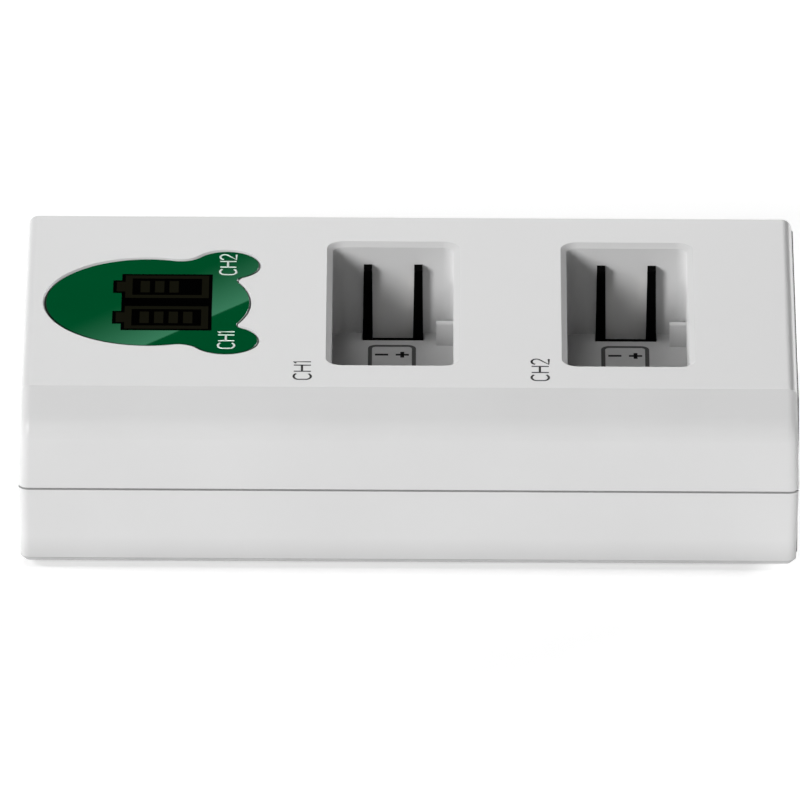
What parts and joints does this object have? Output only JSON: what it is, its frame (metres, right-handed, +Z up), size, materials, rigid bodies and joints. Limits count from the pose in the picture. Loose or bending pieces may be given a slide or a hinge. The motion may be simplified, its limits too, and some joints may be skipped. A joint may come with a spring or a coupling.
{
  "type": "camera battery charger",
  "caption": "Flat white desk charger for slim camera batteries: open bays in its top, sloped long sides, a lobed green display window and a black socket end panel.",
  "frame": {"origin": "under the middle of the body, at the height of the surface its feet stand on", "axes": "+X along the long side towards the socket panel, +Y to the back where the contacts are, +Z up"},
  "size_m": [0.093, 0.0564, 0.0221],
  "materials": {
    "shell_white": "fine satin moulded white",
    "window_green": "glossy, printed dark green on the back",
    "display_dark": "dark unlit display behind the window",
    "panel_black": "fine satin black",
    "carrier_black": "matte black",
    "contact_metal": "plated, bright",
    "socket_steel": "plated sheet",
    "screw_steel": "plated",
    "foot_rubber": "matte grey black",
    "board_green": "solder mask",
    "chip_black": "moulded, matte",
    "light_white": "plain white",
    "can_aluminium": "bright drawn can"
  },
  "bodies": {
    "root": {"backlight_lamps": "light_white", "board_screw_1": "screw_steel", "board_screw_2": "screw_steel", "case_screw_1": "screw_steel", "case_screw_2": "screw_steel", "case_screw_3": "screw_steel", "case_screw_4": "screw_steel", "charge_chip_1": "chip_black", "charge_chip_2": "chip_black", "chip_capacitors": "light_white", "circuit_board": "board_green", "contact_carrier_1": "carrier_black", "contact_carrier_2": "carrier_black", "contact_strip_1_left": "contact_metal", "contact_strip_1_right": "contact_metal", "contact_strip_2_left": "contact_metal", "contact_strip_2_right": "contact_metal", "controller_chip": "chip_black", "display_glass": "display_dark", "display_light_box": "light_white", "display_pins": "contact_metal", "display_window": "window_green", "end_panel": "panel_black", "filter_capacitor_1": "can_aluminium", "filter_capacitor_2": "can_aluminium", "lower_shell": "shell_white", "micro_usb_shell": "socket_steel", "micro_usb_tongue": "carrier_black", "power_inductor_1": "chip_black", "power_inductor_2": "chip_black", "rubber_foot_1": "foot_rubber", "rubber_foot_2": "foot_rubber", "rubber_foot_3": "foot_rubber", "rubber_foot_4": "foot_rubber", "upper_shell": "shell_white", "usb_c_shell": "socket_steel", "usb_c_tongue": "carrier_black"}
  },
  "joints": []
}
